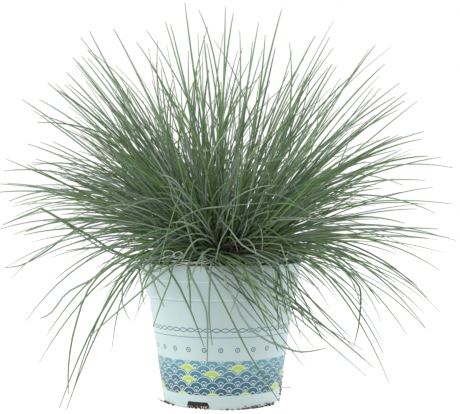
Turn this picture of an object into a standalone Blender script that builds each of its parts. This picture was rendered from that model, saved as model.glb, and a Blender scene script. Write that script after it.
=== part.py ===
"""A clump of blue fescue growing in a nursery pot.

Metres, with +Z up. The pot stands on its base at the origin, with its front towards -Y.
A heading is an angle about the pot's axis in degrees: 0 to the front, 90 to the right (+X).
A lean is an angle from upright in degrees: 0 straight up, 90 level, 180 straight down.
"""

import math
import random

import bmesh
import bpy
from mathutils import Matrix, Vector

# The pot: a tapered plastic pot with a stiffening collar and a rolled lip
POT_HEIGHT = 0.146
LIP_RADIUS = 0.085
LIP_HEIGHT = 0.003
COLLAR_TOP_RADIUS = 0.0836
COLLAR_FOOT_RADIUS = 0.0794
COLLAR_FOOT_HEIGHT = 0.111
COLLAR_BEAD_HEIGHT = 0.129
COLLAR_BEAD = 0.0004
WALL_TOP_RADIUS = 0.0768
WALL_FOOT_RADIUS = 0.0612
WALL = 0.0012
BASE_EDGE_RADIUS = 0.0598
FOOT_RING_RADIUS = 0.0535
BASE_PAD_RADIUS = 0.020
BASE_RECESS = 0.0015
FLOOR_HEIGHT = 0.0032
CHAMFER = 0.0015
TURNED_SEGMENTS = 40
WELD = 0.00001
SHARP_EDGE = 35

# The drainage notches, cut through the wall where it meets the base
NOTCH_COUNT = 3
FIRST_NOTCH_HEADING = -22.4
NOTCH_FOOT_WIDTH = 0.027
NOTCH_TOP_WIDTH = 0.019
NOTCH_HEIGHT = 0.008
NOTCH_INNER_RADIUS = 0.052
NOTCH_OUTER_RADIUS = 0.070

# The potting mix, heaped a little above the rim in the middle
GAP = 0.0003
SOIL_EDGE_HEIGHT = 0.1400
SOIL_CREST_HEIGHT = 0.1500
SOIL_CREST_RADIUS = 0.054
SOIL_LUMPS = 0.0012
SOIL_SEED = 7

# The crown: the dome of packed leaf sheaths that every leaf grows from
CROWN_RADIUS = 0.041
CROWN_HEIGHT = 0.030
CROWN_SEGMENTS = 24
CROWN_RINGS = 5

# The tufts: leaves in bundles, each bundle fused at a short sheath
LEAVES_PER_TUFT = 5
SHEATH_RADIUS = 0.0036
SHEATH_TOP = 0.0032
SHEATH_LENGTH = 0.006
LEAF_TIP_SHARE = 0.10
LEAF_TAPER = 0.75
SHORTEST_LEAF = 0.86
REACH_TO_RIGHT = 0.04
GREEN_SHARE = 0.35
TUFT_SEED = 11

# name, tufts, first heading, lean, growth of the lean to the tip, length, steps, half fan, half depth
TUFT_RINGS = (
    ("upright", 4, 40, 8, 6, 0.241, 3, 30, 4.0),
    ("inner", 9, 12, 25, 11, 0.244, 3, 15, 7.0),
    ("middle", 10, 0, 42, 17, 0.236, 4, 13, 6.5),
    ("outer", 10, 18, 57, 28, 0.212, 4, 13, 6.0),
    ("arching", 10, 0, 70, 43, 0.212, 5, 13, 5.0),
    ("hanging", 10, 18, 80, 70, 0.242, 6, 13, 3.0),
)


def clear_scene():
    for item in list(bpy.data.objects):
        bpy.data.objects.remove(item)


def plain_material(name, colour, roughness):
    """A non-metal surface of one colour, given as linear red, green and blue."""
    material = bpy.data.materials.new(name)
    material.use_nodes = True
    shader = material.node_tree.nodes["Principled BSDF"]
    shader.inputs["Base Color"].default_value = (*colour, 1)
    shader.inputs["Roughness"].default_value = roughness
    shader.inputs["Metallic"].default_value = 0
    material.diffuse_color = (*colour, 1)
    return material


def add_object(name, shape, material):
    """Closes a bmesh into a mesh object of that name."""
    bmesh.ops.recalc_face_normals(shape, faces=shape.faces)
    mesh = bpy.data.meshes.new(name)
    shape.to_mesh(mesh)
    shape.free()
    mesh.shade_smooth()
    mesh.set_sharp_from_angle(angle=math.radians(SHARP_EDGE))
    mesh.materials.append(material)
    made = bpy.data.objects.new(name, mesh)
    bpy.context.scene.collection.objects.link(made)
    return made


def turned(outline, segments):
    """A closed bmesh turned about Z from (radius, height) points that start and end on the axis."""
    shape = bmesh.new()
    points = [shape.verts.new((radius, 0, height)) for radius, height in outline]
    edges = [shape.edges.new(pair) for pair in zip(points, points[1:])]
    bmesh.ops.spin(
        shape, geom=points + edges, cent=(0, 0, 0), axis=(0, 0, 1),
        angle=math.tau, steps=segments, use_merge=True,
    )
    bmesh.ops.remove_doubles(shape, verts=shape.verts, dist=WELD)
    return shape


def direction(heading, lean):
    """The unit vector at a heading and a lean, both in degrees."""
    turn, tip = math.radians(heading), math.radians(lean)
    return Vector((math.sin(tip) * math.sin(turn), -math.sin(tip) * math.cos(turn), math.cos(tip)))


def collar_radius(height):
    """The collar's outer radius, on its straight taper."""
    share = (height - COLLAR_FOOT_HEIGHT) / (POT_HEIGHT - LIP_HEIGHT - COLLAR_FOOT_HEIGHT)
    return COLLAR_FOOT_RADIUS + share * (COLLAR_TOP_RADIUS - COLLAR_FOOT_RADIUS)


def pot_outline():
    """The pot's wall from the middle of its underside, up the outside and down the inside."""
    underside = [
        (0, 0),
        (BASE_PAD_RADIUS, 0),
        (BASE_PAD_RADIUS + CHAMFER, BASE_RECESS),
        (FOOT_RING_RADIUS - CHAMFER, BASE_RECESS),
        (FOOT_RING_RADIUS, 0),
        (BASE_EDGE_RADIUS, 0),
    ]
    outside = [
        (WALL_FOOT_RADIUS, CHAMFER),
        (WALL_TOP_RADIUS, COLLAR_FOOT_HEIGHT - CHAMFER),
        (COLLAR_FOOT_RADIUS, COLLAR_FOOT_HEIGHT),
        (collar_radius(COLLAR_BEAD_HEIGHT), COLLAR_BEAD_HEIGHT),
        (collar_radius(COLLAR_BEAD_HEIGHT) + COLLAR_BEAD, COLLAR_BEAD_HEIGHT + COLLAR_BEAD),
        (COLLAR_TOP_RADIUS, POT_HEIGHT - LIP_HEIGHT),
        (LIP_RADIUS, POT_HEIGHT - LIP_HEIGHT + COLLAR_BEAD),
        (LIP_RADIUS, POT_HEIGHT - 2 * COLLAR_BEAD),
        (LIP_RADIUS - 2 * COLLAR_BEAD, POT_HEIGHT),
    ]
    inside = [(COLLAR_TOP_RADIUS - WALL, POT_HEIGHT), *inner_wall(0), (0, FLOOR_HEIGHT)]
    return underside + outside + inside


def inner_wall(gap):
    """The pot's inner wall from its collar down to its floor, or a line that stays a gap inside it."""
    return [
        (COLLAR_FOOT_RADIUS - WALL - gap, COLLAR_FOOT_HEIGHT + CHAMFER),
        (WALL_TOP_RADIUS - WALL - gap, COLLAR_FOOT_HEIGHT - CHAMFER),
        (WALL_FOOT_RADIUS - WALL - gap, FLOOR_HEIGHT + gap),
    ]


def notch_cutter(heading):
    """A trapezoid bar that cuts one drainage notch: wide at the floor and narrow at its top."""
    shape = bmesh.new()
    corners = [
        (-NOTCH_FOOT_WIDTH / 2 - CHAMFER, -CHAMFER),
        (NOTCH_FOOT_WIDTH / 2 + CHAMFER, -CHAMFER),
        (NOTCH_TOP_WIDTH / 2, NOTCH_HEIGHT),
        (-NOTCH_TOP_WIDTH / 2, NOTCH_HEIGHT),
    ]
    face = shape.faces.new([shape.verts.new((x, -NOTCH_INNER_RADIUS, z)) for x, z in corners])
    pushed = bmesh.ops.extrude_face_region(shape, geom=[face])["geom"]
    moved = [item for item in pushed if isinstance(item, bmesh.types.BMVert)]
    bmesh.ops.translate(shape, verts=moved, vec=(0, NOTCH_INNER_RADIUS - NOTCH_OUTER_RADIUS, 0))
    bmesh.ops.recalc_face_normals(shape, faces=shape.faces)
    mesh = bpy.data.meshes.new("notch_cutter")
    shape.to_mesh(mesh)
    shape.free()
    cutter = bpy.data.objects.new("notch_cutter", mesh)
    cutter.rotation_euler.z = math.radians(heading)
    cutter.hide_render = True
    cutter.display_type = "WIRE"
    bpy.context.scene.collection.objects.link(cutter)
    return cutter


def add_pot():
    plastic = plain_material("pale_aqua_plastic", (0.52, 0.69, 0.71), 0.38)
    pot = add_object("pot", turned(pot_outline(), TURNED_SEGMENTS), plastic)
    for index in range(NOTCH_COUNT):
        cut = pot.modifiers.new(f"notch_{index + 1}", "BOOLEAN")
        cut.operation = "DIFFERENCE"
        cut.object = notch_cutter(FIRST_NOTCH_HEADING + index * 360 / NOTCH_COUNT)


def add_soil():
    """The root ball: it fills the pot, and its open face is heaped and lumpy outside the crown."""
    edge_radius = collar_radius(SOIL_EDGE_HEIGHT) - WALL - GAP - COLLAR_BEAD
    slope = [
        (SOIL_CREST_RADIUS, SOIL_CREST_HEIGHT),
        ((SOIL_CREST_RADIUS + edge_radius) / 2, (SOIL_EDGE_HEIGHT + SOIL_CREST_HEIGHT) / 2 + SOIL_LUMPS),
        (edge_radius, SOIL_EDGE_HEIGHT),
    ]
    outline = [(0, SOIL_CREST_HEIGHT), *slope, *inner_wall(GAP), (0, FLOOR_HEIGHT + GAP)]
    shape = turned(outline, TURNED_SEGMENTS)
    chance = random.Random(SOIL_SEED)
    for point in shape.verts:
        radius = math.hypot(point.co.x, point.co.y)
        if SOIL_CREST_RADIUS + CHAMFER < radius and point.co.z > COLLAR_BEAD_HEIGHT:
            point.co.z += chance.uniform(-SOIL_LUMPS, SOIL_LUMPS)
    add_object("potting_mix", shape, plain_material("dark_peat", (0.030, 0.020, 0.014), 0.95))


def add_crown():
    base = SOIL_CREST_HEIGHT + GAP
    outline = [(0, base)]
    for ring in range(CROWN_RINGS + 1):
        around = math.radians(90) * (1 - ring / CROWN_RINGS)
        outline.append((CROWN_RADIUS * math.sin(around), base + CROWN_HEIGHT * math.cos(around)))
    outline[-1] = (0, base + CROWN_HEIGHT)
    add_object(
        "crown", turned(outline, CROWN_SEGMENTS), plain_material("dry_sheath", (0.19, 0.20, 0.09), 0.8)
    )


def crown_point(heading, lean):
    """The point on the crown's dome where its surface faces that way."""
    facing = direction(0, lean)
    around = math.atan2(CROWN_RADIUS * -facing.y, CROWN_HEIGHT * facing.z)
    outward = direction(heading, 90) * (CROWN_RADIUS * math.sin(around))
    return outward + Vector((0, 0, SOIL_CREST_HEIGHT + GAP + CROWN_HEIGHT * math.cos(around)))


def leaf_direction(heading, lean, growth, share):
    """Which way a leaf points at a share of its length: it bends most near its root."""
    return direction(heading, lean + growth * (1 - (1 - share) ** 2))


def leaf_path(root, heading, lean, growth, length, steps):
    """Points along a leaf from its root to its tip, each with the leaf's direction there."""
    stations = [(root, leaf_direction(heading, lean, growth, 0))]
    for step in range(steps):
        point = stations[-1][0]
        point = point + leaf_direction(heading, lean, growth, (step + 0.5) / steps) * (length / steps)
        stations.append((point, leaf_direction(heading, lean, growth, (step + 1) / steps)))
    return stations


def add_tuft(name, heading, lean, growth, length, steps, fan, depth, material, chance):
    """One bundle: a short sheath whose end is parted into facets, each drawn out into a leaf."""
    axis = direction(heading, lean)
    side = direction(heading + 90, 90)
    over = axis.cross(side)
    root = crown_point(heading, lean) + axis * GAP
    placed = Matrix.Translation(root) @ Matrix((side, over, axis)).transposed().to_4x4()
    shape = bmesh.new()
    leaf_number = shape.faces.layers.int.new("leaf")
    bmesh.ops.create_circle(
        shape, cap_ends=True, segments=LEAVES_PER_TUFT, radius=SHEATH_RADIUS, matrix=placed
    )
    end = bmesh.ops.extrude_discrete_faces(shape, faces=shape.faces[:])["faces"][0]
    middle = root + axis * SHEATH_LENGTH
    for point in end.verts:
        spoke = point.co - root
        point.co = middle + spoke * (SHEATH_TOP / SHEATH_RADIUS)
    facets = bmesh.ops.poke(shape, faces=[end])["faces"]
    leaves = []
    for number, facet in enumerate(facets):
        facet[leaf_number] = number
        centre = facet.calc_center_median()
        spoke = (centre - middle).normalized()
        leaf_heading = heading + fan * spoke.dot(side)
        leaf_lean = lean - depth * spoke.dot(over)
        reach = length * chance.uniform(SHORTEST_LEAF, 1)
        path = leaf_path(centre, leaf_heading, leaf_lean, growth, reach, steps)
        leaves.append((path, [point.co - centre for point in facet.verts]))
    for step in range(1, steps + 1):
        facets = bmesh.ops.extrude_discrete_faces(shape, faces=facets)["faces"]
        taper = LEAF_TIP_SHARE + (1 - LEAF_TIP_SHARE) * (1 - step / steps) ** LEAF_TAPER
        for facet in facets:
            path, corners = leaves[facet[leaf_number]]
            centre, tangent = path[step]
            turn = axis.rotation_difference(tangent)
            for point, corner in zip(facet.verts, corners):
                point.co = centre + (turn @ corner) * taper
    bmesh.ops.holes_fill(shape, edges=[edge for edge in shape.edges if edge.is_boundary])
    add_object(name, shape, material)


def add_tufts():
    blue = plain_material("glaucous_leaf", (0.150, 0.235, 0.165), 0.55)
    green = plain_material("green_leaf", (0.130, 0.230, 0.095), 0.55)
    chance = random.Random(TUFT_SEED)
    for ring, count, first, lean, growth, length, steps, fan, depth in TUFT_RINGS:
        for index in range(count):
            heading = first + 360 * index / count
            reach = length * (1 + REACH_TO_RIGHT * math.sin(math.radians(heading)))
            material = green if chance.random() < GREEN_SHARE else blue
            name = f"tuft_{ring}_{index + 1}"
            add_tuft(name, heading, lean, growth, reach, steps, fan, depth, material, chance)


clear_scene()
add_pot()
add_soil()
add_crown()
add_tufts()
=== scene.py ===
"""A clump of blue fescue in its nursery pot, with the finish and the fine leaves of the real one.

Metres, with +Z up and the front towards -Y. The script follows the plant from the pot upwards: the pot,
the potting mix, the crown with its leaf sheaths, the tufts of leaves ring by ring, the stray leaves at the
edge and across the front of the clump, the dead leaves, and the crumbs at the foot. The floor, the light and
the camera come last.
"""

import math
import random
from collections import namedtuple

import bmesh
import bpy
from mathutils import Matrix, Vector, noise


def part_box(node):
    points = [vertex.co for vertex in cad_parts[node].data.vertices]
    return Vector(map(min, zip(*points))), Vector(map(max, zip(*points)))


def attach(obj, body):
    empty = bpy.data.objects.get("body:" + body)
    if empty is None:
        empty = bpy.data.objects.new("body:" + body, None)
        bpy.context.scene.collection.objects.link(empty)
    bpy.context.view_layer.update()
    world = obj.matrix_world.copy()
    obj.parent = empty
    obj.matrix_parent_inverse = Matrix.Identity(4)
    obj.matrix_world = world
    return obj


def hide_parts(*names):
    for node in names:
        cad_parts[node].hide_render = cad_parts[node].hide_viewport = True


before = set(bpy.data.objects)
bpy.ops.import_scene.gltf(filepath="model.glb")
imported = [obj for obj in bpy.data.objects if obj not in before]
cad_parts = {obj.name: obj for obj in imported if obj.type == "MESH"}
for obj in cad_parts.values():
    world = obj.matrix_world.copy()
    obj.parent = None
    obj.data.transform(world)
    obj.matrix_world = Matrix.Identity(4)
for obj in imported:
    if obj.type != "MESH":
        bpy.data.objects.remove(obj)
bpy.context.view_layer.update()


# Pot
# The pot is one injection moulding in pale aqua polypropylene: a tapered wall, a collar that stiffens its
# mouth above a ledge, a rolled lip, and drainage notches where the wall meets the base. A decorative band
# and two fine borders are printed on the wall before the pot is filled.
pot_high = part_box("pot")[1]
POT_HEIGHT = pot_high.z
LIP_RADIUS = pot_high.x
LIP_HEIGHT = 0.003
COLLAR_TOP_RADIUS = LIP_RADIUS - 0.0014
COLLAR_FOOT_RADIUS = LIP_RADIUS - 0.0056
COLLAR_FOOT_HEIGHT = 0.111
COLLAR_BEAD_HEIGHT = 0.129
COLLAR_BEAD = 0.0005
WALL_TOP_RADIUS = 0.0768
WALL_FOOT_RADIUS = 0.0610
WALL = 0.0012
LEDGE_SLOPE = 0.0015
FOOT_RING_RADIUS = 0.0535
BASE_PAD_RADIUS = 0.020
BASE_RECESS = 0.0015
POT_FLOOR = 0.0032
POT_SEGMENTS = 192
BEVEL_SEGMENTS = 3
TOUCH = 0.00001
NOTCH_HEADINGS = (-22.4, 97.6, 217.6)
NOTCH_FOOT_WIDTH = 0.0285
NOTCH_TOP_WIDTH = 0.0215
NOTCH_HEIGHT = 0.008
NOTCH_INNER_RADIUS = 0.052
NOTCH_OUTER_RADIUS = 0.070
NOTCH_ROUNDING = 0.0012


def collar_radius(height):
    """The collar's outer radius at a height, on its straight taper."""
    share = (height - COLLAR_FOOT_HEIGHT) / (POT_HEIGHT - LIP_HEIGHT - COLLAR_FOOT_HEIGHT)
    return COLLAR_FOOT_RADIUS + share * (COLLAR_TOP_RADIUS - COLLAR_FOOT_RADIUS)


def wall_radius(height):
    """The outer radius of the pot below its lip."""
    if height > COLLAR_FOOT_HEIGHT:
        return collar_radius(height)
    return WALL_FOOT_RADIUS + (WALL_TOP_RADIUS - WALL_FOOT_RADIUS) * height / COLLAR_FOOT_HEIGHT


def round_off(shape, edges, size):
    """Rounds some edges of a bmesh."""
    bmesh.ops.bevel(
        shape, geom=edges, offset=size, segments=BEVEL_SEGMENTS, profile=0.5, affect="EDGES", material=-1
    )


def turned(corners, segments):
    """A closed bmesh turned about Z. Each corner is a radius, a height and the size of its rounding."""
    shape = bmesh.new()
    points = [shape.verts.new((radius, 0, height)) for radius, height, rounding in corners]
    edges = [shape.edges.new(pair) for pair in zip(points, points[1:])]
    bmesh.ops.spin(
        shape, geom=points + edges, cent=(0, 0, 0), axis=(0, 0, 1),
        angle=math.tau, steps=segments, use_merge=True,
    )
    bmesh.ops.remove_doubles(shape, verts=shape.verts, dist=TOUCH)
    for radius, height, rounding in corners:
        if rounding:
            ring = [
                edge for edge in shape.edges
                if all(abs(end.co.xy.length - radius) < TOUCH for end in edge.verts)
                and all(abs(end.co.z - height) < TOUCH for end in edge.verts)
            ]
            round_off(shape, ring, rounding)
    return shape


def mesh_of(name, shape):
    """A mesh made of a bmesh, which is freed."""
    mesh = bpy.data.meshes.new(name)
    shape.to_mesh(mesh)
    shape.free()
    return mesh


def add_object(name, data):
    """A new object in the scene, made of a mesh, a lamp or a camera's lens."""
    added = bpy.data.objects.new(name, data)
    bpy.context.scene.collection.objects.link(added)
    return added


def add_piece(name, shape, material, sharp_angle):
    """Makes a named piece of a bmesh, facing outwards and shaded smooth, that stands with the pot."""
    bmesh.ops.recalc_face_normals(shape, faces=shape.faces)
    mesh = mesh_of(name, shape)
    mesh.shade_smooth()
    mesh.set_sharp_from_angle(angle=math.radians(sharp_angle))
    mesh.materials.append(material)
    piece = add_object(name, mesh)
    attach(piece, "root")
    return piece


def cut_notches(pot):
    """Cuts the drainage notches, which are wide at the floor and narrow at their top."""
    cutters = []
    for heading in NOTCH_HEADINGS:
        shape = bmesh.new()
        bmesh.ops.create_cube(shape, size=1)
        for corner in shape.verts:
            width = NOTCH_TOP_WIDTH if corner.co.z > 0 else NOTCH_FOOT_WIDTH
            reach = NOTCH_OUTER_RADIUS if corner.co.y < 0 else NOTCH_INNER_RADIUS
            rise = NOTCH_HEIGHT if corner.co.z > 0 else -LEDGE_SLOPE
            corner.co = (math.copysign(width / 2, corner.co.x), -reach, rise)
        top_sides = [
            edge for edge in shape.edges
            if all(end.co.z > 0 for end in edge.verts) and edge.verts[0].co.x * edge.verts[1].co.x > 0
        ]
        round_off(shape, top_sides, NOTCH_ROUNDING)
        bmesh.ops.rotate(shape, verts=shape.verts, matrix=Matrix.Rotation(math.radians(heading), 3, "Z"))
        bmesh.ops.recalc_face_normals(shape, faces=shape.faces)
        cutter = add_object("notch_cutter", mesh_of("notch_cutter", shape))
        cut = pot.modifiers.new("notch", "BOOLEAN")
        cut.operation = "DIFFERENCE"
        cut.object = cutter
        cutters.append(cutter)
    graph = bpy.context.evaluated_depsgraph_get()
    pot.data = bpy.data.meshes.new_from_object(pot.evaluated_get(graph))
    pot.modifiers.clear()
    for cutter in cutters:
        bpy.data.objects.remove(cutter)


def new_material(name):
    """A material with only its Principled shader and its output, and the shader's node tree."""
    material = bpy.data.materials.new(name)
    material.use_nodes = True
    tree = material.node_tree
    return material, tree, tree.nodes["Principled BSDF"]


def set_inputs(tree, node, inputs):
    """Sets inputs of a node, each to a value or to the output socket of another node."""
    for key, value in inputs.items():
        if isinstance(value, bpy.types.NodeSocket):
            tree.links.new(value, node.inputs[key])
        else:
            node.inputs[key].default_value = value


def add_node(tree, kind, inputs=None, **settings):
    """Adds a node with its settings and inputs."""
    node = tree.nodes.new(kind)
    for name, value in settings.items():
        setattr(node, name, value)
    set_inputs(tree, node, inputs or {})
    return node


def maths(tree, operation, *values):
    """The result of a math node on one, two or three values or sockets."""
    return add_node(tree, "ShaderNodeMath", dict(enumerate(values)), operation=operation).outputs[0]


def times(tree, first, second):
    return maths(tree, "MULTIPLY", first, second)


def minus(tree, first, second):
    return maths(tree, "SUBTRACT", first, second)


def distance(tree, aside, above):
    """The distance to a point that lies so far aside and so far above."""
    return maths(tree, "SQRT", maths(tree, "ADD", times(tree, aside, aside), times(tree, above, above)))


def pick(tree, choice, chosen, other):
    """One value where a choice is 1, and the other where it is 0."""
    return maths(tree, "ADD", times(tree, choice, chosen), times(tree, minus(tree, 1.0, choice), other))


def blend(tree, share, first, second, blend_type="MIX"):
    """The first colour where the share is 0 and the second where it is 1."""
    node = add_node(tree, "ShaderNodeMix", data_type="RGBA", blend_type=blend_type)
    for key, value in (("Factor", share), ("A", first), ("B", second)):
        socket = [each for each in node.inputs if each.name == key and each.enabled][0]
        if isinstance(value, bpy.types.NodeSocket):
            tree.links.new(value, socket)
        else:
            socket.default_value = value if key == "Factor" else (*value, 1)
    return [each for each in node.outputs if each.enabled][0]


def ramp(tree, share, stops, interpolation="LINEAR"):
    """A colour that runs through stops, each a position and a colour."""
    node = add_node(tree, "ShaderNodeValToRGB", {"Fac": share})
    node.color_ramp.interpolation = interpolation
    elements = node.color_ramp.elements
    while len(elements) < len(stops):
        elements.new(0.5)
    for element, (place, colour) in zip(elements, stops):
        element.position = place
        element.color = (*colour, 1)
    return node.outputs["Color"]


def grey_ramp(tree, share, stops, interpolation="LINEAR"):
    """A grey that runs through stops, each a position and a level."""
    return ramp(tree, share, [(place, (level,) * 3) for place, level in stops], interpolation)


def piece_place(tree):
    """The place on the piece, in metres."""
    return add_node(tree, "ShaderNodeTexCoord").outputs["Object"]


def clouds(tree, place, scale, detail, distortion=0.0):
    """Soft noise from 0 to 1. Its scale is in clouds per metre."""
    inputs = {"Vector": place, "Scale": scale, "Detail": detail, "Distortion": distortion}
    return add_node(tree, "ShaderNodeTexNoise", inputs).outputs["Fac"]


def bump(tree, shader, height, depth):
    """Raises the surface by a height from 0 to 1 times a depth in metres."""
    node = add_node(tree, "ShaderNodeBump", {"Height": height, "Distance": depth, "Strength": 1.0})
    tree.links.new(node.outputs["Normal"], shader.inputs["Normal"])


POT_COLOUR = (0.356, 0.442, 0.444)
POT_SHADE = tuple(0.95 * part for part in POT_COLOUR)
POT_CLOUDS = 28.0
INK_DEEP = (0.010, 0.060, 0.095)
INK_TEAL = (0.022, 0.105, 0.150)
INK_LIGHT = (0.090, 0.220, 0.265)
INK_LIME = (0.300, 0.400, 0.085)
INK_WHITE = (0.430, 0.530, 0.540)
INK_FADE = ((0.0, INK_DEEP), (0.45, INK_TEAL), (1.0, INK_LIGHT))
LIME_SHARE = 0.13
DIRT = (0.060, 0.035, 0.020)
DIRT_SPECKS = 900.0
DIRT_PATCHES = 70.0
DIRT_BY_HEIGHT = ((0.0, 1), (1.0, 0.72))
DIRT_EDGE = ((0.365, 0), (0.40, 1))
SCUFFS = 60.0
SCUFF_ROUGHNESS = ((0.3, 0.34), (0.75, 0.50))
GRAIN = 1400.0
GRAIN_DEPTH = 0.00004
# Painted highlights: pale lines painted along the edges of the ledge and of the collar's bead, where these
# edges catch the light. These are their heights, width, colour and strength.
HIGHLIGHT_LINES = (0.1117, 0.1297)
HIGHLIGHT_LINE_WIDTH = 0.0005
HIGHLIGHT_LINE_COLOUR = (0.52, 0.62, 0.62)
HIGHLIGHT_LINE_SHARE = 0.5
BAND_LOW = 0.0150
BAND_HIGH = 0.0500
SCALES_ROUND = 24
SCALE_WIDTH = 0.0170
SCALE_RISE = 0.34
SCALE_RADIUS = 0.52
SCALE_RINGS = ((0.0, 0), (0.27, 1), (0.35, 0), (0.82, 1), (0.89, 0))
EVEN_ROWS = 20.0
ROPE_HEIGHT = 0.0812
ROPE_SWING = 0.0019
ROPE_TURNS = 26
ROPE_LINE = 0.00045
BORDER_HEIGHT = 0.0740
BORDER_LINE = 0.00030
BEAD_HEIGHT = 0.0612
BEADS_ROUND = 26
BEAD_RADIUS = 0.0021


def scale_pattern(tree, around, height):
    """Fish scales in rows: how far a point is from its scale's centre, and a random number per scale."""
    column = times(tree, around, SCALES_ROUND)
    up = maths(tree, "DIVIDE", minus(tree, height, BAND_LOW), SCALE_WIDTH * SCALE_RISE)
    low_row = minus(tree, maths(tree, "FLOOR", up), 2.0)
    far, number = None, None
    for step in (2, 1, 0):
        row = maths(tree, "ADD", low_row, float(step))
        # An even number is added because the remainder of a negative row would be negative.
        is_odd = maths(tree, "MODULO", maths(tree, "ADD", row, EVEN_ROWS), 2.0)
        place = minus(tree, column, times(tree, is_odd, 0.5))
        centre = maths(tree, "ROUND", place)
        above = times(tree, minus(tree, up, row), SCALE_RISE)
        away = maths(tree, "DIVIDE", distance(tree, minus(tree, place, centre), above), SCALE_RADIUS)
        cell = add_node(tree, "ShaderNodeCombineXYZ", {0: centre, 1: row, 2: 0.0}).outputs[0]
        chance = add_node(tree, "ShaderNodeTexWhiteNoise", {"Vector": cell}).outputs["Value"]
        if far is None:
            far, number = away, chance
        else:
            inside = maths(tree, "LESS_THAN", away, 1.0)
            far = pick(tree, inside, away, far)
            number = pick(tree, inside, chance, number)
    return far, number


def line_mask(tree, off_line, half_width):
    """1 within half a line's width of where the distance off the line is 0."""
    return maths(tree, "LESS_THAN", maths(tree, "ABSOLUTE", off_line), half_width)


def printed_lines(tree, angle, around, height):
    """1 on the fine print above the band: a twisted line, a plain one, and small rings with a dot in each."""
    swing = times(tree, maths(tree, "SINE", times(tree, angle, float(ROPE_TURNS))), ROPE_SWING)
    over_rope = minus(tree, height, ROPE_HEIGHT)
    column = times(tree, around, BEADS_ROUND)
    bead_pitch = math.tau * wall_radius(BEAD_HEIGHT) / BEADS_ROUND
    aside = times(tree, minus(tree, column, maths(tree, "ROUND", column)), bead_pitch)
    away = distance(tree, aside, minus(tree, height, BEAD_HEIGHT))
    printed = maths(tree, "LESS_THAN", away, BEAD_RADIUS / 3)
    for off_line, half_width in (
        (minus(tree, over_rope, swing), ROPE_LINE),
        (maths(tree, "ADD", over_rope, swing), ROPE_LINE),
        (minus(tree, height, BORDER_HEIGHT), BORDER_LINE),
        (minus(tree, away, BEAD_RADIUS), ROPE_LINE),
    ):
        printed = maths(tree, "MAXIMUM", printed, line_mask(tree, off_line, half_width))
    return printed


def pot_plastic():
    material, tree, shader = new_material("pot_plastic")
    place = piece_place(tree)
    x, y, height = add_node(tree, "ShaderNodeSeparateXYZ", {0: place}).outputs
    angle = maths(tree, "ARCTAN2", x, times(tree, y, -1.0))
    around = maths(tree, "DIVIDE", angle, math.tau)
    on_wall = maths(tree, "GREATER_THAN", distance(tree, x, y), FOOT_RING_RADIUS + BASE_RECESS)

    colour = ramp(tree, clouds(tree, place, POT_CLOUDS, 3.0), ((0.3, POT_SHADE), (0.7, POT_COLOUR)))
    # Painted highlights: pale lines along the edges of the ledge and the bead, where the light catches them.
    for highlight_height in HIGHLIGHT_LINES:
        on_highlight = line_mask(tree, minus(tree, height, highlight_height), HIGHLIGHT_LINE_WIDTH)
        colour = blend(tree, times(tree, on_highlight, HIGHLIGHT_LINE_SHARE), colour, HIGHLIGHT_LINE_COLOUR)
    colour = blend(tree, times(tree, printed_lines(tree, angle, around, height), on_wall), colour, INK_TEAL)

    far, number = scale_pattern(tree, around, height)
    ink = ramp(tree, maths(tree, "DIVIDE", minus(tree, height, BAND_LOW), BAND_HIGH - BAND_LOW), INK_FADE)
    ink = blend(tree, maths(tree, "LESS_THAN", number, LIME_SHARE), ink, INK_LIME)
    band_ink = blend(tree, grey_ramp(tree, far, SCALE_RINGS, "CONSTANT"), ink, INK_WHITE)
    above_foot = maths(tree, "GREATER_THAN", height, BAND_LOW)
    band = times(tree, above_foot, maths(tree, "LESS_THAN", height, BAND_HIGH))
    covered = times(tree, band, maths(tree, "LESS_THAN", far, 1.0))
    colour = blend(tree, times(tree, covered, on_wall), colour, band_ink)

    specks = times(tree, clouds(tree, place, DIRT_SPECKS, 2.0), clouds(tree, place, DIRT_PATCHES, 2.0))
    near_foot = grey_ramp(tree, maths(tree, "DIVIDE", height, BAND_LOW), DIRT_BY_HEIGHT)
    dirt = grey_ramp(tree, times(tree, specks, near_foot), DIRT_EDGE)
    below_band = maths(tree, "LESS_THAN", height, BAND_LOW)
    colour = blend(tree, times(tree, dirt, below_band), colour, DIRT)

    rough = grey_ramp(tree, clouds(tree, place, SCUFFS, 5.0), SCUFF_ROUGHNESS)
    set_inputs(tree, shader, {"Base Color": colour, "Roughness": rough})
    bump(tree, shader, clouds(tree, place, GRAIN, 2.0), GRAIN_DEPTH)
    return material


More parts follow.
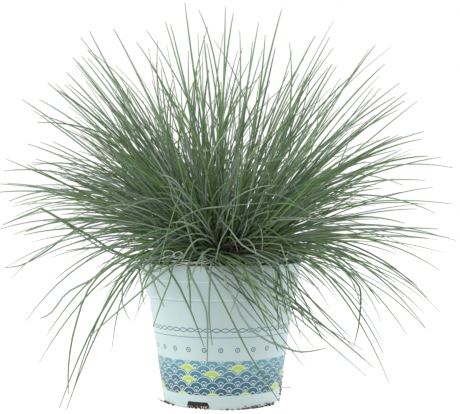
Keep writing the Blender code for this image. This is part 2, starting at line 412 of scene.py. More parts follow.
pot_corners = [
    (0, 0, 0),
    (BASE_PAD_RADIUS, 0, 0.0003),
    (BASE_PAD_RADIUS + BASE_RECESS, BASE_RECESS, 0.0003),
    (FOOT_RING_RADIUS - BASE_RECESS, BASE_RECESS, 0.0003),
    (FOOT_RING_RADIUS, 0, 0.0003),
    (WALL_FOOT_RADIUS, 0, 0.0014),
    (WALL_TOP_RADIUS, COLLAR_FOOT_HEIGHT - LEDGE_SLOPE, 0.0006),
    (COLLAR_FOOT_RADIUS, COLLAR_FOOT_HEIGHT, 0.0007),
    (collar_radius(COLLAR_BEAD_HEIGHT), COLLAR_BEAD_HEIGHT, 0.0002),
    (collar_radius(COLLAR_BEAD_HEIGHT) + COLLAR_BEAD, COLLAR_BEAD_HEIGHT + COLLAR_BEAD, 0.0002),
    (COLLAR_TOP_RADIUS, POT_HEIGHT - LIP_HEIGHT, 0.0004),
    (LIP_RADIUS, POT_HEIGHT - LIP_HEIGHT + COLLAR_BEAD, 0.0005),
    (LIP_RADIUS, POT_HEIGHT, 0.0009),
    (COLLAR_TOP_RADIUS - WALL, POT_HEIGHT, 0.0005),
    (COLLAR_FOOT_RADIUS - WALL, COLLAR_FOOT_HEIGHT + LEDGE_SLOPE, 0),
    (WALL_TOP_RADIUS - WALL, COLLAR_FOOT_HEIGHT - LEDGE_SLOPE, 0),
    (WALL_FOOT_RADIUS - WALL, POT_FLOOR, 0),
    (0, POT_FLOOR, 0),
]
pot = add_piece("nursery_pot", turned(pot_corners, POT_SEGMENTS), pot_plastic(), 30)
cut_notches(pot)
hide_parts("pot")


# Potting mix
# Peat and shredded bark fill the pot to a finger's width below the lip. Roots have bound it to one ball,
# which stands a little proud in the middle, and loose crumbs and bark lie on it.
MIX_EDGE_HEIGHT = 0.1400
MIX_CREST_HEIGHT = 0.1500
MIX_CREST_RADIUS = 0.054
MIX_SLOPE_POWER = 1.3
MIX_RADIUS = collar_radius(MIX_EDGE_HEIGHT) - WALL - 0.0007
MIX_RINGS = 34
MIX_SEGMENTS = 150
MIX_LUMP = 0.0022
MIX_BED = 0.0036
MIX_LUMPS = 90
BARK_SEED = 3
BARK_BITS = 260
BARK_SPREAD = (0.30, 0.97)
BARK_LENGTH = (0.002, 0.007)
BARK_WIDTH = (0.25, 0.6)
BARK_THICKNESS = (0.2, 0.45)
LUMP_KNOCK = 0.16
PEAT_TONES = ((0.30, (0.004, 0.003, 0.002)), (0.50, (0.015, 0.010, 0.007)), (0.72, (0.050, 0.032, 0.020)))
PEAT_CRUMBS = 420.0
PEAT_FIBRES = 160.0
PEAT_FIBRE_EDGES = ((0.60, 0), (0.68, 1), (0.74, 0))
PEAT_FIBRE_COLOUR = (0.090, 0.060, 0.038)


def mix_height(radius):
    """The height of the mix's surface at a radius, before its lumps."""
    slope = (radius - MIX_CREST_RADIUS) / (MIX_RADIUS - MIX_CREST_RADIUS)
    return MIX_CREST_HEIGHT - (MIX_CREST_HEIGHT - MIX_EDGE_HEIGHT) * min(max(slope, 0), 1) ** MIX_SLOPE_POWER


def peat():
    material, tree, shader = new_material("peat")
    place = piece_place(tree)
    crumbs = clouds(tree, place, PEAT_CRUMBS, 6.0)
    fibres = grey_ramp(tree, clouds(tree, place, PEAT_FIBRES, 4.0, 2.5), PEAT_FIBRE_EDGES)
    colour = blend(tree, fibres, ramp(tree, crumbs, PEAT_TONES), PEAT_FIBRE_COLOUR)
    set_inputs(tree, shader, {"Base Color": colour, "Roughness": 0.92})
    bump(tree, shader, crumbs, 0.0012)
    return material


def add_lump(shape, place, size, chance):
    """A rough crumb: a small ball, squashed, turned and knocked out of true."""
    turn = chance.uniform(0, math.tau)
    axis = Vector((chance.uniform(-1, 1), 1, chance.uniform(-1, 1)))
    matrix = Matrix.Translation(place) @ Matrix.Rotation(turn, 4, axis) @ Matrix.Diagonal((*size, 1))
    made = bmesh.ops.create_icosphere(shape, subdivisions=1, radius=0.5, matrix=matrix)
    knock = min(size) * LUMP_KNOCK
    for point in made["verts"]:
        point.co += Vector((chance.uniform(-knock, knock) for axis_number in range(3)))


def add_mix():
    corners = [(0, MIX_CREST_HEIGHT, 0)]
    for ring in range(1, MIX_RINGS + 1):
        radius = MIX_RADIUS * ring / MIX_RINGS
        corners.append((radius, mix_height(radius), 0))
    corners += [
        (COLLAR_FOOT_RADIUS - WALL - COLLAR_BEAD, COLLAR_FOOT_HEIGHT + LEDGE_SLOPE, 0),
        (WALL_TOP_RADIUS - WALL - COLLAR_BEAD, COLLAR_FOOT_HEIGHT - LEDGE_SLOPE, 0),
        (WALL_FOOT_RADIUS - WALL - COLLAR_BEAD, MIX_BED, 0),
        (0, MIX_BED, 0),
    ]
    shape = turned(corners, MIX_SEGMENTS)
    for point in shape.verts:
        if point.co.z > MIX_EDGE_HEIGHT - TOUCH:
            point.co.z += MIX_LUMP * noise.fractal(point.co * MIX_LUMPS, 1.0, 2.0, 4)
    chance = random.Random(BARK_SEED)
    for bit in range(BARK_BITS):
        turn = chance.uniform(0, math.tau)
        radius = MIX_RADIUS * math.sqrt(chance.uniform(*BARK_SPREAD))
        length = chance.uniform(*BARK_LENGTH)
        size = length * Vector((1, chance.uniform(*BARK_WIDTH), chance.uniform(*BARK_THICKNESS)))
        place = Vector((radius * math.sin(turn), -radius * math.cos(turn), mix_height(radius) + size.z * 0.3))
        add_lump(shape, place, size, chance)
    mix = add_piece("peat_and_bark", shape, peat(), 60)
    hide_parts("potting_mix")


add_mix()


# Crown
# The clump is a crowd of tillers: shoots of five or so leaves held in one papery sheath, straw coloured at
# the foot and green above. They stand on a dome of old sheaths and lean out all round it, ring by ring.
CROWN_RADIUS = 0.041
CROWN_HEIGHT = 0.030
CROWN_SINK = 0.0022
CROWN_LOWEST_LEAN = 86
CROWN_LUMP = 0.05
CROWN_LUMPS = 300
SHEATH_SEED = 5
SHEATH_SIDES = 6
SHEATH_STEPS = 3
SHEATH_LENGTH = (0.012, 0.024)
SHEATH_RADIUS = (0.0009, 0.0015)
SHEATH_TAPER = 0.25
SHEATH_TONES = (
    (0.0, (0.060, 0.040, 0.022)), (0.30, (0.20, 0.15, 0.075)),
    (0.65, (0.16, 0.19, 0.08)), (1.0, (0.11, 0.17, 0.08)),
)
SHEATH_PATCHES = 260.0
SHEATH_PATCH_COLOUR = (0.055, 0.060, 0.030)
TILLER_SEED = 21

Ring = namedtuple("Ring", "tufts first lean growth length half_cell half_lean tillers")
RINGS = {
    "upright": Ring(4, 40, 8, 6, 0.241, 45, 8.0, 9),
    "inner": Ring(9, 12, 25, 11, 0.244, 21, 8.5, 9),
    "middle": Ring(10, 0, 42, 17, 0.236, 19, 8.0, 10),
    "outer": Ring(10, 18, 57, 28, 0.212, 19, 7.5, 10),
    "arching": Ring(10, 0, 70, 43, 0.212, 19, 6.5, 9),
    "hanging": Ring(10, 18, 80, 70, 0.242, 19, 5.0, 5),
}
REACH_TO_RIGHT = 0.04
Tiller = namedtuple("Tiller", "root heading lean")


def direction(heading, lean):
    """The unit vector at a heading (0 to the front, 90 to the right) and a lean from upright, in degrees."""
    turn = math.radians(heading)
    tip = math.radians(lean)
    return Vector((math.sin(tip) * math.sin(turn), -math.sin(tip) * math.cos(turn), math.cos(tip)))


def spot(heading, reach, height):
    """The point at a heading, so far from the pot's axis and so high."""
    return direction(heading, 90) * reach + Vector((0, 0, height))


def crown_point(heading, lean):
    """The point on the crown's dome where its surface faces that way."""
    facing = direction(0, lean)
    around = math.atan2(CROWN_RADIUS * -facing.y, CROWN_HEIGHT * facing.z)
    return spot(heading, CROWN_RADIUS * math.sin(around), MIX_CREST_HEIGHT + CROWN_HEIGHT * math.cos(around))


def ring_tillers():
    """The tillers of each tuft, spread over the part of the dome that the tuft covers."""
    chance = random.Random(TILLER_SEED)
    tillers = {}
    for name, ring in RINGS.items():
        for tuft in range(ring.tufts):
            middle = ring.first + 360 * tuft / ring.tufts
            grown = []
            for tiller in range(ring.tillers):
                heading = middle + chance.uniform(-ring.half_cell, ring.half_cell)
                lean = max(ring.lean + chance.uniform(-ring.half_lean, ring.half_lean), 0.5)
                on_dome = crown_point(heading, min(lean, CROWN_LOWEST_LEAN))
                root = on_dome - direction(heading, lean) * CROWN_SINK
                grown.append(Tiller(root, heading, lean))
            tillers[f"{name}_{tuft + 1}"] = grown
    return tillers


def attribute(tree, name):
    """A number that a mesh carries at each of its points."""
    return add_node(tree, "ShaderNodeAttribute", attribute_name=name).outputs["Fac"]


def sheath_skin():
    material, tree, shader = new_material("leaf_sheath")
    patches = clouds(tree, piece_place(tree), SHEATH_PATCHES, 3.0)
    colour = blend(tree, patches, ramp(tree, attribute(tree, "along"), SHEATH_TONES), SHEATH_PATCH_COLOUR)
    set_inputs(tree, shader, {"Base Color": colour, "Roughness": 0.7})
    bump(tree, shader, patches, 0.0003)
    return material


def close_holes(shape):
    bmesh.ops.holes_fill(shape, edges=[edge for edge in shape.edges if edge.is_boundary])


def facet_at(shape, place, way, sides, radius):
    """A small new facet at a place that faces a way, to draw a stalk out of."""
    turn = Vector((0, 0, 1)).rotation_difference(way).to_matrix().to_4x4()
    foot = bmesh.ops.create_circle(
        shape, cap_ends=True, segments=sides, radius=radius, matrix=Matrix.Translation(place) @ turn
    )
    return foot["verts"][0].link_faces[0]


def drawn_out(shape, facets):
    """The same facets, drawn out of where they were by new walls of no length yet."""
    return bmesh.ops.extrude_discrete_faces(shape, faces=facets)["faces"]


def add_crown(tillers):
    shape = bmesh.new()
    along = shape.verts.layers.float.new("along")
    bmesh.ops.create_uvsphere(shape, u_segments=48, v_segments=24, radius=1)
    bmesh.ops.bisect_plane(
        shape, geom=shape.verts[:] + shape.edges[:] + shape.faces[:], plane_co=(0, 0, 0), plane_no=(0, 0, -1),
        clear_outer=True,
    )
    close_holes(shape)
    for point in shape.verts:
        dome = Vector((point.co.x * CROWN_RADIUS, point.co.y * CROWN_RADIUS, point.co.z * CROWN_HEIGHT))
        knock = 1 + CROWN_LUMP * noise.noise(dome * CROWN_LUMPS)
        point.co = dome * knock + Vector((0, 0, MIX_CREST_HEIGHT))
    chance = random.Random(SHEATH_SEED)
    for grown in tillers.values():
        for tiller in grown:
            way = direction(tiller.heading, tiller.lean)
            length = chance.uniform(*SHEATH_LENGTH)
            facet = facet_at(shape, tiller.root, way, SHEATH_SIDES, chance.uniform(*SHEATH_RADIUS))
            for step in range(1, SHEATH_STEPS + 1):
                share = step / SHEATH_STEPS
                facet = drawn_out(shape, [facet])[0]
                middle = tiller.root + way * length * share
                old = facet.calc_center_median()
                for point in facet.verts:
                    point.co = middle + (point.co - old) * (1 - SHEATH_TAPER * share)
                    point[along] = share
    close_holes(shape)
    crown = add_piece("crown_sheaths", shape, sheath_skin(), 60)
    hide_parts("crown")


tillers = ring_tillers()
add_crown(tillers)


# Leaves
# Each leaf is a stiff, folded needle a millimetre and a half wide, drawn out to a fine tip. A waxy bloom
# turns most of them blue-grey over green. Each tuft of the clump is one piece, in place of its plain solid.
LEAF_SEED = 13
LEAF_STEPS = 14
LEAF_SECTION = ((-0.47, 0.22), (0.0, -0.50), (0.47, 0.22), (0.0, 0.08))
LEAF_WIDTH = (0.0012, 0.0022)
LEAF_FOOT_WIDTH = 0.7
LEAF_FOOT_GROWTH = 2
LEAF_TIP_WIDTH = 0.30
LEAF_TAPER_POWER = 5
LEAF_SHADES = (0.58, 1.36)
LEAF_CLEARANCE = 0.0012
FLOOR_CLEARANCE = 0.004
LIP_SLOPE = 0.4
LEAVES_PER_TILLER = (4, 7)
VIGOUR = (0.75, 1.04)
SHORTEST_SHARE = 0.55
LENGTH_POWER = 0.9
SAG_RANGE = (0.3, 1.7)
ROLL_SPREAD = 0.9
TWIST_SPREAD = 1.0
Leaf = namedtuple("Leaf", "stations width tone")
Station = namedtuple("Station", "place wide deep")
STIFF_TO_RIGHT = 0.30
FAN_SPREAD = (0.02, 0.10)
FAN_STEP = 0.06
WAY_SPREAD = 0.07
SWAY_OUT = (0.28, 0.32)
SWAY_SPREAD = 0.21
ROOT_SPREAD = (-0.0007, 0.0007)
KINKED_SHARE = 0.04
KINK_SPREAD = 0.5
KINK_STATIONS = (5, 11)
KINK_DROP = Vector((0, 0, -0.4))
TILLER_TONE = (0.40, 0.20)
TONE_SPREAD = 0.20
GREENEST_TONE = 0.8
YELLOW_TONE = 0.9
YELLOW_SHARE = 0.016
DRY_SHARE = 0.002
LEAF_TONES = (
    (0.0, (0.255, 0.325, 0.265)), (0.35, (0.115, 0.190, 0.100)), (0.60, (0.088, 0.178, 0.044)),
    (0.80, (0.100, 0.198, 0.034)), (0.90, (0.200, 0.250, 0.070)), (1.0, (0.300, 0.290, 0.170)),
)
BLOOM_CLOUDS = 45.0
BLOOM_SHARE = 0.14
BLOOM_COLOUR = (0.260, 0.320, 0.270)
FOOT_FADE = ((0.0, 1), (0.25, 0))
FOOT_COLOUR = (0.085, 0.110, 0.020)
TIP_FADE = ((0.94, 0), (0.99, 1))
TIP_COLOUR = (0.180, 0.170, 0.100)
LEAF_RIBS = 14.0
LEAF_RIB_DEPTH = 0.00008
SAG = {"upright": 0.30, "inner": 0.42, "middle": 0.45, "outer": 0.50, "arching": 0.75, "hanging": 1.45}


def rest_on_pot(point, is_over_lip):
    """Keeps a leaf's point above the mix and the lip or, once past it, off the wall and the floor."""
    radius = point.xy.length
    if is_over_lip:
        least = wall_radius(max(point.z, 0)) + LEAF_CLEARANCE
        if point.z < POT_HEIGHT and radius < least:
            point.x *= least / radius
            point.y *= least / radius
    elif radius < LIP_RADIUS + LEAF_CLEARANCE:
        lip_ramp = POT_HEIGHT - (LIP_RADIUS - radius) * LIP_SLOPE
        point.z = max(point.z, mix_height(radius) + LEAF_CLEARANCE, lip_ramp + LEAF_CLEARANCE)
    else:
        point.z = max(point.z, POT_HEIGHT + LEAF_CLEARANCE)
    point.z = max(point.z, FLOOR_CLEARANCE)
    return is_over_lip or radius >= LIP_RADIUS + LEAF_CLEARANCE


def sagging_points(root, way, length, sag, sway, kink):
    """Points of a leaf that sets out one way, sags and sways as it grows and rests on the pot it meets.

    A kink is the station where the leaf has folded over and how it turned there.
    """
    points = [root.copy()]
    is_over_lip = False
    for step in range(LEAF_STEPS):
        share = (step + 0.5) / LEAF_STEPS
        pull = Vector((0, 0, -sag)) * (0.6 + 0.8 * share) + sway
        way = (way + pull / LEAF_STEPS).normalized()
        if kink and step == kink[0]:
            way = (way + kink[1]).normalized()
        point = points[-1] + way * (length / LEAF_STEPS)
        is_over_lip = rest_on_pot(point, is_over_lip)
        points.append(point)
    return points


def leaf_through(points, width, tone, roll, twist):
    """A leaf along points, with the directions of its width and depth carried from station to station."""
    last = len(points) - 1
    wide = (points[1] - points[0]).cross(Vector((0.02, 0.01, 1))).normalized()
    stations = []
    for number, place in enumerate(points):
        ahead = (points[min(number + 1, last)] - points[max(number - 1, 0)]).normalized()
        wide = (wide - ahead * wide.dot(ahead)).normalized()
        deep = wide.cross(ahead)
        turn = roll + twist * number / last
        wide_turned = wide * math.cos(turn) + deep * math.sin(turn)
        stations.append(Station(place, wide_turned, deep * math.cos(turn) - wide * math.sin(turn)))
    return Leaf(stations, width, tone)


def grow_leaves(name, leaves, material):
    """One piece of folded leaves, each drawn out of a small facet station by station."""
    shape = bmesh.new()
    leaf_number = shape.faces.layers.int.new("leaf")
    floats = shape.verts.layers.float
    tone, along, across, shade = [floats.new(key) for key in ("tone", "along", "across", "shade")]
    shade_chance = random.Random(name)
    shades = [shade_chance.uniform(*LEAF_SHADES) for leaf in leaves]
    for number, leaf in enumerate(leaves):
        foot = bmesh.ops.create_circle(shape, cap_ends=True, segments=len(LEAF_SECTION), radius=leaf.width)
        foot["verts"][0].link_faces[0][leaf_number] = number
    facets = shape.faces[:]
    for step in range(LEAF_STEPS + 1):
        if step:
            facets = drawn_out(shape, facets)
        share = step / LEAF_STEPS
        tip_taper = LEAF_TIP_WIDTH + (1 - LEAF_TIP_WIDTH) * (1 - share ** LEAF_TAPER_POWER)
        taper = min(LEAF_FOOT_WIDTH + LEAF_FOOT_GROWTH * share, 1) * tip_taper
        for facet in facets:
            leaf = leaves[facet[leaf_number]]
            station = leaf.stations[step]
            for point, (aside, depth) in zip(facet.verts, LEAF_SECTION):
                offset = station.wide * aside + station.deep * depth
                point.co = station.place + offset * (leaf.width * taper)
                point[tone] = leaf.tone
                point[shade] = shades[facet[leaf_number]]
                point[along] = share
                point[across] = aside * 2
    close_holes(shape)
    piece = add_piece(name, shape, material, 180)
    return piece


def leaf_skin():
    material, tree, shader = new_material("fescue_leaf")
    along = attribute(tree, "along")
    bloom = times(tree, clouds(tree, piece_place(tree), BLOOM_CLOUDS, 3.0), BLOOM_SHARE)
    colour = blend(tree, bloom, ramp(tree, attribute(tree, "tone"), LEAF_TONES), BLOOM_COLOUR)
    colour = blend(tree, grey_ramp(tree, along, FOOT_FADE), colour, FOOT_COLOUR)
    colour = blend(tree, grey_ramp(tree, along, TIP_FADE), colour, TIP_COLOUR)
    shade = attribute(tree, "shade")
    grey = add_node(tree, "ShaderNodeCombineColor", {0: shade, 1: shade, 2: shade}).outputs[0]
    colour = blend(tree, 1.0, colour, grey, "MULTIPLY")
    set_inputs(tree, shader, {"Base Color": colour, "Roughness": 0.45, "Specular IOR Level": 0.35})
    ribs = maths(tree, "SINE", times(tree, attribute(tree, "across"), LEAF_RIBS))
    bump(tree, shader, maths(tree, "MULTIPLY_ADD", ribs, 0.5, 0.5), LEAF_RIB_DEPTH)
    return material


def leaf_tone(chance, middle):
    """0 is the bluest leaf, 0.8 the greenest, 0.9 a yellowing one and 1 a dry one."""
    draw = chance.random()
    if draw < DRY_SHARE:
        return 1.0
    if draw < YELLOW_SHARE:
        return YELLOW_TONE
    return min(max(chance.gauss(middle, TONE_SPREAD), 0), GREENEST_TONE)


Fullness = namedtuple("Fullness", "all_round left right front back")
FULLNESS = {
    "upright": Fullness(0.09, 0.14, -0.04, 0.0, 0.0),
    "inner": Fullness(0.27, 0.34, -0.12, 0.0, 0.08),
    "middle": Fullness(0.50, 0.64, 0.10, 0.0, 0.0),
    "outer": Fullness(0.46, 0.20, -0.18, -0.08, 0.0),
    "arching": Fullness(0.38, -0.34, 0.24, -0.20, 0.0),
    "hanging": Fullness(0.26, -0.24, -0.10, -0.24, 0.0),
}
BARE_HEADINGS = (15, 75)
BARE_SHARE = 0.40
BARE_RINGS = ("outer", "arching", "hanging")


def fullness(name, heading):
    """How many of its leaves a tiller keeps. The clump is thin on the front right, where old leaves show."""
    share = FULLNESS[name]
    aside = math.sin(math.radians(heading))
    forward = math.cos(math.radians(heading))
    kept = share.all_round + share.left * max(-aside, 0) + share.right * max(aside, 0)
    kept += share.front * max(forward, 0) + share.back * max(-forward, 0)
    if name in BARE_RINGS and BARE_HEADINGS[0] < heading % 360 < BARE_HEADINGS[1]:
        kept *= BARE_SHARE
    return kept


def scatter(chance, spread):
    """A random vector. The spread is the standard deviation of each of its parts."""
    return Vector([chance.gauss(0, spread) for axis_number in range(3)])


def tuft_leaves(name, grown, chance):
    """Leaves of a tuft's tillers: each tiller fans its leaves to both sides of its own direction."""
    ring = RINGS[name]
    leaves = []
    for tiller in grown:
        axis = direction(tiller.heading, tiller.lean)
        fan = Matrix.Rotation(chance.uniform(0, math.pi), 3, axis) @ axis.orthogonal().normalized()
        middle_tone = chance.gauss(*TILLER_TONE)
        vigour = chance.uniform(*VIGOUR)
        count = round(chance.uniform(*LEAVES_PER_TILLER) * fullness(name, tiller.heading))
        if tiller is grown[0]:
            count = max(count, 1)
        to_right = math.sin(math.radians(tiller.heading))
        for number in range(count):
            to_side = fan if number % 2 else -fan
            spread = chance.uniform(*FAN_SPREAD) + FAN_STEP * number
            way = (axis + to_side * spread + scatter(chance, WAY_SPREAD)).normalized()
            sway = to_side * chance.gauss(*SWAY_OUT) + scatter(chance, SWAY_SPREAD)
            sag = SAG[name] * chance.uniform(*SAG_RANGE) * (1 - STIFF_TO_RIGHT * max(to_right, 0))
            share = SHORTEST_SHARE + (1 - SHORTEST_SHARE) * chance.random() ** LENGTH_POWER
            length = ring.length * vigour * share * (1 + REACH_TO_RIGHT * to_right)
            kink = None
            if chance.random() < KINKED_SHARE:
                fold = scatter(chance, KINK_SPREAD)
                kink = (chance.randint(*KINK_STATIONS), fold + KINK_DROP)
            root = tiller.root + Vector([chance.uniform(*ROOT_SPREAD) for axis_number in range(3)])
            points = sagging_points(root, way, length, sag, sway, kink)
            width = chance.uniform(*LEAF_WIDTH) * (0.75 + 0.25 * share)
            roll = chance.gauss(0, ROLL_SPREAD)
            tone = leaf_tone(chance, middle_tone)
            leaves.append(leaf_through(points, width, tone, roll, chance.gauss(0, TWIST_SPREAD)))
    return leaves


fescue_leaf = leaf_skin()
for tuft_name, grown in tillers.items():
    leaves = tuft_leaves(tuft_name.split("_")[0], grown, random.Random(f"{tuft_name} {LEAF_SEED}"))
    tuft = grow_leaves(f"leaves_{tuft_name}", leaves, fescue_leaf)
    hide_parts(f"tuft_{tuft_name}")


# Stray leaves
# The longest leaves stand clear of the rest and give the clump its ragged edge. Each is set by where its
# tip stands and by how far it arches and bends on its way. The tips at the edge are moved nearer or further
# along the line of sight. Other leaves cross the front of the crown and spill over the lip.
STRAY_SEED = 17
STRAY_WIDTH = (0.0019, 0.0026)
STRAY_TONE = 0.35
STRAY_HEADINGS = (-55, 55)
STRAY_LEANS = (0.5, 1.0)
STRAY_LOWEST_LEAN = 80
SECOND_POINT = (0.30, 1.3)
THIRD_POINT = (0.72, 1.1)
Stray = namedtuple("Stray", "x y z arch bend")
STRAYS_MM = (
    (-150, 10, 384, 0.04, 0.02), (-141, 40, 391, 0.03, -0.02), (-114, -20, 393, 0.04, 0.0),
    (-91, 30, 379, 0.05, 0.02), (-59, -30, 401, 0.03, 0.0), (-54, 0, 398, 0.05, -0.02),
    (-39, 10, 421, 0.02, 0.0), (-25, 20, 414, 0.04, 0.02), (-18, -30, 386, 0.03, -0.03),
    (4, 10, 417, 0.02, 0.02), (-165, 20, 347, 0.05, 0.0), (-176, -20, 335, 0.06, 0.02),
    (-149, 30, 364, 0.05, -0.02), (-142, -30, 371, 0.04, 0.0), (-212, 10, 318, 0.05, 0.02),
    (-193, -20, 318, 0.06, -0.02), (-200, 30, 306, 0.04, 0.0), (-164, 20, 299, 0.07, 0.03),
    (-206, -10, 271, 0.05, -0.02), (-193, 20, 273, 0.08, 0.02), (-229, 0, 255, 0.04, 0.0),
    (-232, 20, 242, 0.08, 0.02), (-227, -20, 229, 0.06, -0.02), (-226, 10, 210, 0.10, 0.0),
    (13, -10, 410, 0.03, 0.0), (19, 20, 391, 0.04, 0.02), (40, -20, 400, 0.03, -0.02),
    (46, 30, 387, 0.05, 0.0), (64, 0, 414, 0.03, 0.02), (58, -30, 373, 0.04, -0.02), (75, 20, 370, 0.05, 0.0),
    (100, -10, 386, 0.04, 0.02), (115, 20, 385, 0.03, -0.02), (118, -20, 356, 0.06, 0.0),
    (122, 30, 354, 0.04, 0.02), (107, 0, 361, 0.05, 0.0), (142, -30, 346, 0.06, 0.02),
    (163, 10, 376, 0.02, 0.0), (174, -10, 356, 0.04, -0.02), (189, 20, 336, 0.05, 0.02),
    (185, -20, 321, 0.07, 0.0), (195, 10, 317, 0.05, -0.02), (187, 30, 307, 0.06, 0.0),
    (215, 0, 284, 0.06, 0.02), (200, -20, 273, 0.08, 0.0), (212, 20, 276, 0.07, -0.02),
    (192, 10, 279, 0.08, 0.02), (234, 0, 257, 0.06, 0.0), (220, -20, 258, 0.09, -0.02),
    (216, 20, 232, 0.09, 0.0), (250, 0, 168, 0.12, 0.0), (232, -20, 137, 0.15, 0.02),
    (218, 10, 108, 0.17, 0.0), (216, -20, 91, 0.18, -0.02), (218, -10, 74, 0.20, 0.0),
    (198, -30, 68, 0.22, 0.02), (-208, -20, 82, 0.20, 0.0), (-193, -30, 39, 0.26, 0.0),
    (-158, -10, 363, 0.04, 0.0), (-153, 20, 358, 0.05, 0.02), (-185, 10, 336, 0.04, 0.0),
    (-174, -20, 328, 0.05, -0.02), (-167, 20, 334, 0.05, 0.0), (-127, -30, 325, 0.05, 0.02),
    (-109, 10, 343, 0.04, 0.0), (-127, 20, 352, 0.04, -0.02), (-99, -20, 331, 0.04, 0.02),
    (-230, 10, 139, 0.14, 0.0), (-232, 0, 185, 0.13, 0.0), (-209, 20, 178, 0.12, 0.02),
    (-176, -20, 127, 0.16, 0.0), (-186, 0, 67, 0.20, 0.0), (-210, -10, 174, 0.10, -0.02),
    (156, -20, 99, 0.22, 0.02), (168, 10, 101, 0.20, 0.0),
)
LOW_STRAYS_MM = (
    (-155, -100, 10, 0.32, 0.02), (-148, -100, 9, 0.36, -0.02), (-141, -100, 29, 0.32, 0.0),
    (-97, -60, 112, 0.28, 0.0), (-65, -98, 88, 0.34, -0.08), (170, -50, 26, 0.28, -0.02),
    (166, -40, 54, 0.26, 0.0),
)
CAMERA_DISTANCE = 1.05
CAMERA_HEIGHT = 0.201
DEPTH_SPREAD = 2.5
Crossing = namedtuple("Crossing", "heading lean x y z arch bend")
ACROSS_THE_FRONT_MM = (
    (-10, 75, 22, -120, 262, 0.04, 0.02), (-45, 70, 80, -118, 200, 0.26, 0.0),
    (-55, 75, 48, -112, 204, 0.06, 0.03), (-35, 78, -62, -118, 232, 0.02, -0.06),
    (12, 78, 66, -118, 150, 0.10, 0.0), (20, 72, 100, -100, 128, 0.16, 0.03),
    (30, 70, 92, -110, 228, 0.05, 0.02), (-20, 74, -85, -110, 150, 0.12, 0.0),
    (5, 80, 34, -126, 158, 0.20, -0.05), (40, 76, 66, -96, 178, -0.02, 0.06),
    (-60, 72, -96, -98, 168, 0.14, 0.02), (-15, 76, -40, -124, 196, 0.05, 0.05),
    (25, 66, 20, -116, 190, 0.22, 0.08), (-5, 80, -30, -122, 150, 0.16, 0.06),
    (50, 70, 118, -88, 196, 0.06, -0.02), (-40, 76, -100, -84, 198, 0.05, 0.02),
)


def in_metres(points_mm):
    return [Vector(point) / 1000 for point in points_mm]


def leaf_along(points, width, tone, chance):
    """A leaf through a few points, rounded into a smooth run of stations."""
    spans = len(points) - 1
    run = []
    for step in range(LEAF_STEPS + 1):
        place = spans * step / LEAF_STEPS
        index = min(int(place), spans - 1)
        share = place - index
        before = points[max(index - 1, 0)]
        start, end = points[index], points[index + 1]
        after = points[min(index + 2, spans)]
        bow = (2 * before - 5 * start + 4 * end - after) * share ** 2
        twist = (3 * start - before - 3 * end + after) * share ** 3
        run.append(0.5 * (2 * start + (end - before) * share + bow + twist))
    is_over_lip = False
    for place in run[1:]:
        is_over_lip = rest_on_pot(place, is_over_lip)
    return leaf_through(run, width, tone, chance.uniform(0, math.pi), chance.gauss(0, 0.6))


def leaf_between(root, tip, arch, bend, chance):
    """A leaf from a root to a tip. Its arch and bend are shares of the straight way there."""
    chord = tip - root
    aside = chord.cross(Vector((0, 0, 1))).normalized() * (bend * chord.length)
    above = Vector((0, 0, arch * chord.length))
    second, third = [
        root + chord * share + (above + aside) * strength for share, strength in (SECOND_POINT, THIRD_POINT)
    ]
    points = []
    is_over_lip = False
    for step in range(LEAF_STEPS + 1):
        share = step / LEAF_STEPS
        left = 1 - share
        near_root = root * left ** 3 + second * (3 * share * left ** 2)
        point = near_root + third * (3 * share * share * left) + tip * share ** 3
        if step:
            is_over_lip = rest_on_pot(point, is_over_lip)
        points.append(point)
    roll = chance.gauss(0, 0.8)
    width = chance.uniform(*STRAY_WIDTH)
    tone = leaf_tone(chance, STRAY_TONE)
    return leaf_through(points, width, tone, roll, chance.gauss(0, 0.8))


def spread_in_depth(stray):
    """A stray with its tip moved nearer or further, to where it still covers the spot it was measured at."""
    depth = stray.y * DEPTH_SPREAD
    growth = 1 + depth / 1000 / CAMERA_DISTANCE
    level = CAMERA_HEIGHT * 1000
    return stray._replace(x=stray.x * growth, y=depth, z=level + (stray.z - level) * growth)


def stray_leaf(stray, chance):
    """A stray leaf, rooted on the side of the crown that its tip stands on."""
    tip = Vector((stray.x, stray.y, stray.z)) / 1000
    way = tip - Vector((0, 0, MIX_CREST_HEIGHT))
    heading = math.degrees(math.atan2(way.x, -way.y)) + chance.uniform(*STRAY_HEADINGS)
    lean = math.degrees(way.angle(Vector((0, 0, 1)))) * chance.uniform(*STRAY_LEANS)
    arch = stray.arch + chance.gauss(0, 0.02)
    bend = stray.bend + chance.gauss(0, 0.03)
    return leaf_between(crown_point(heading, min(lean, STRAY_LOWEST_LEAN)), tip, arch, bend, chance)


def crossing_leaf(leaf, chance):
    """A leaf across the front of the clump, with its own place on the crown."""
    tip = Vector((leaf.x, leaf.y, leaf.z)) / 1000
    return leaf_between(crown_point(leaf.heading, leaf.lean), tip, leaf.arch, leaf.bend, chance)


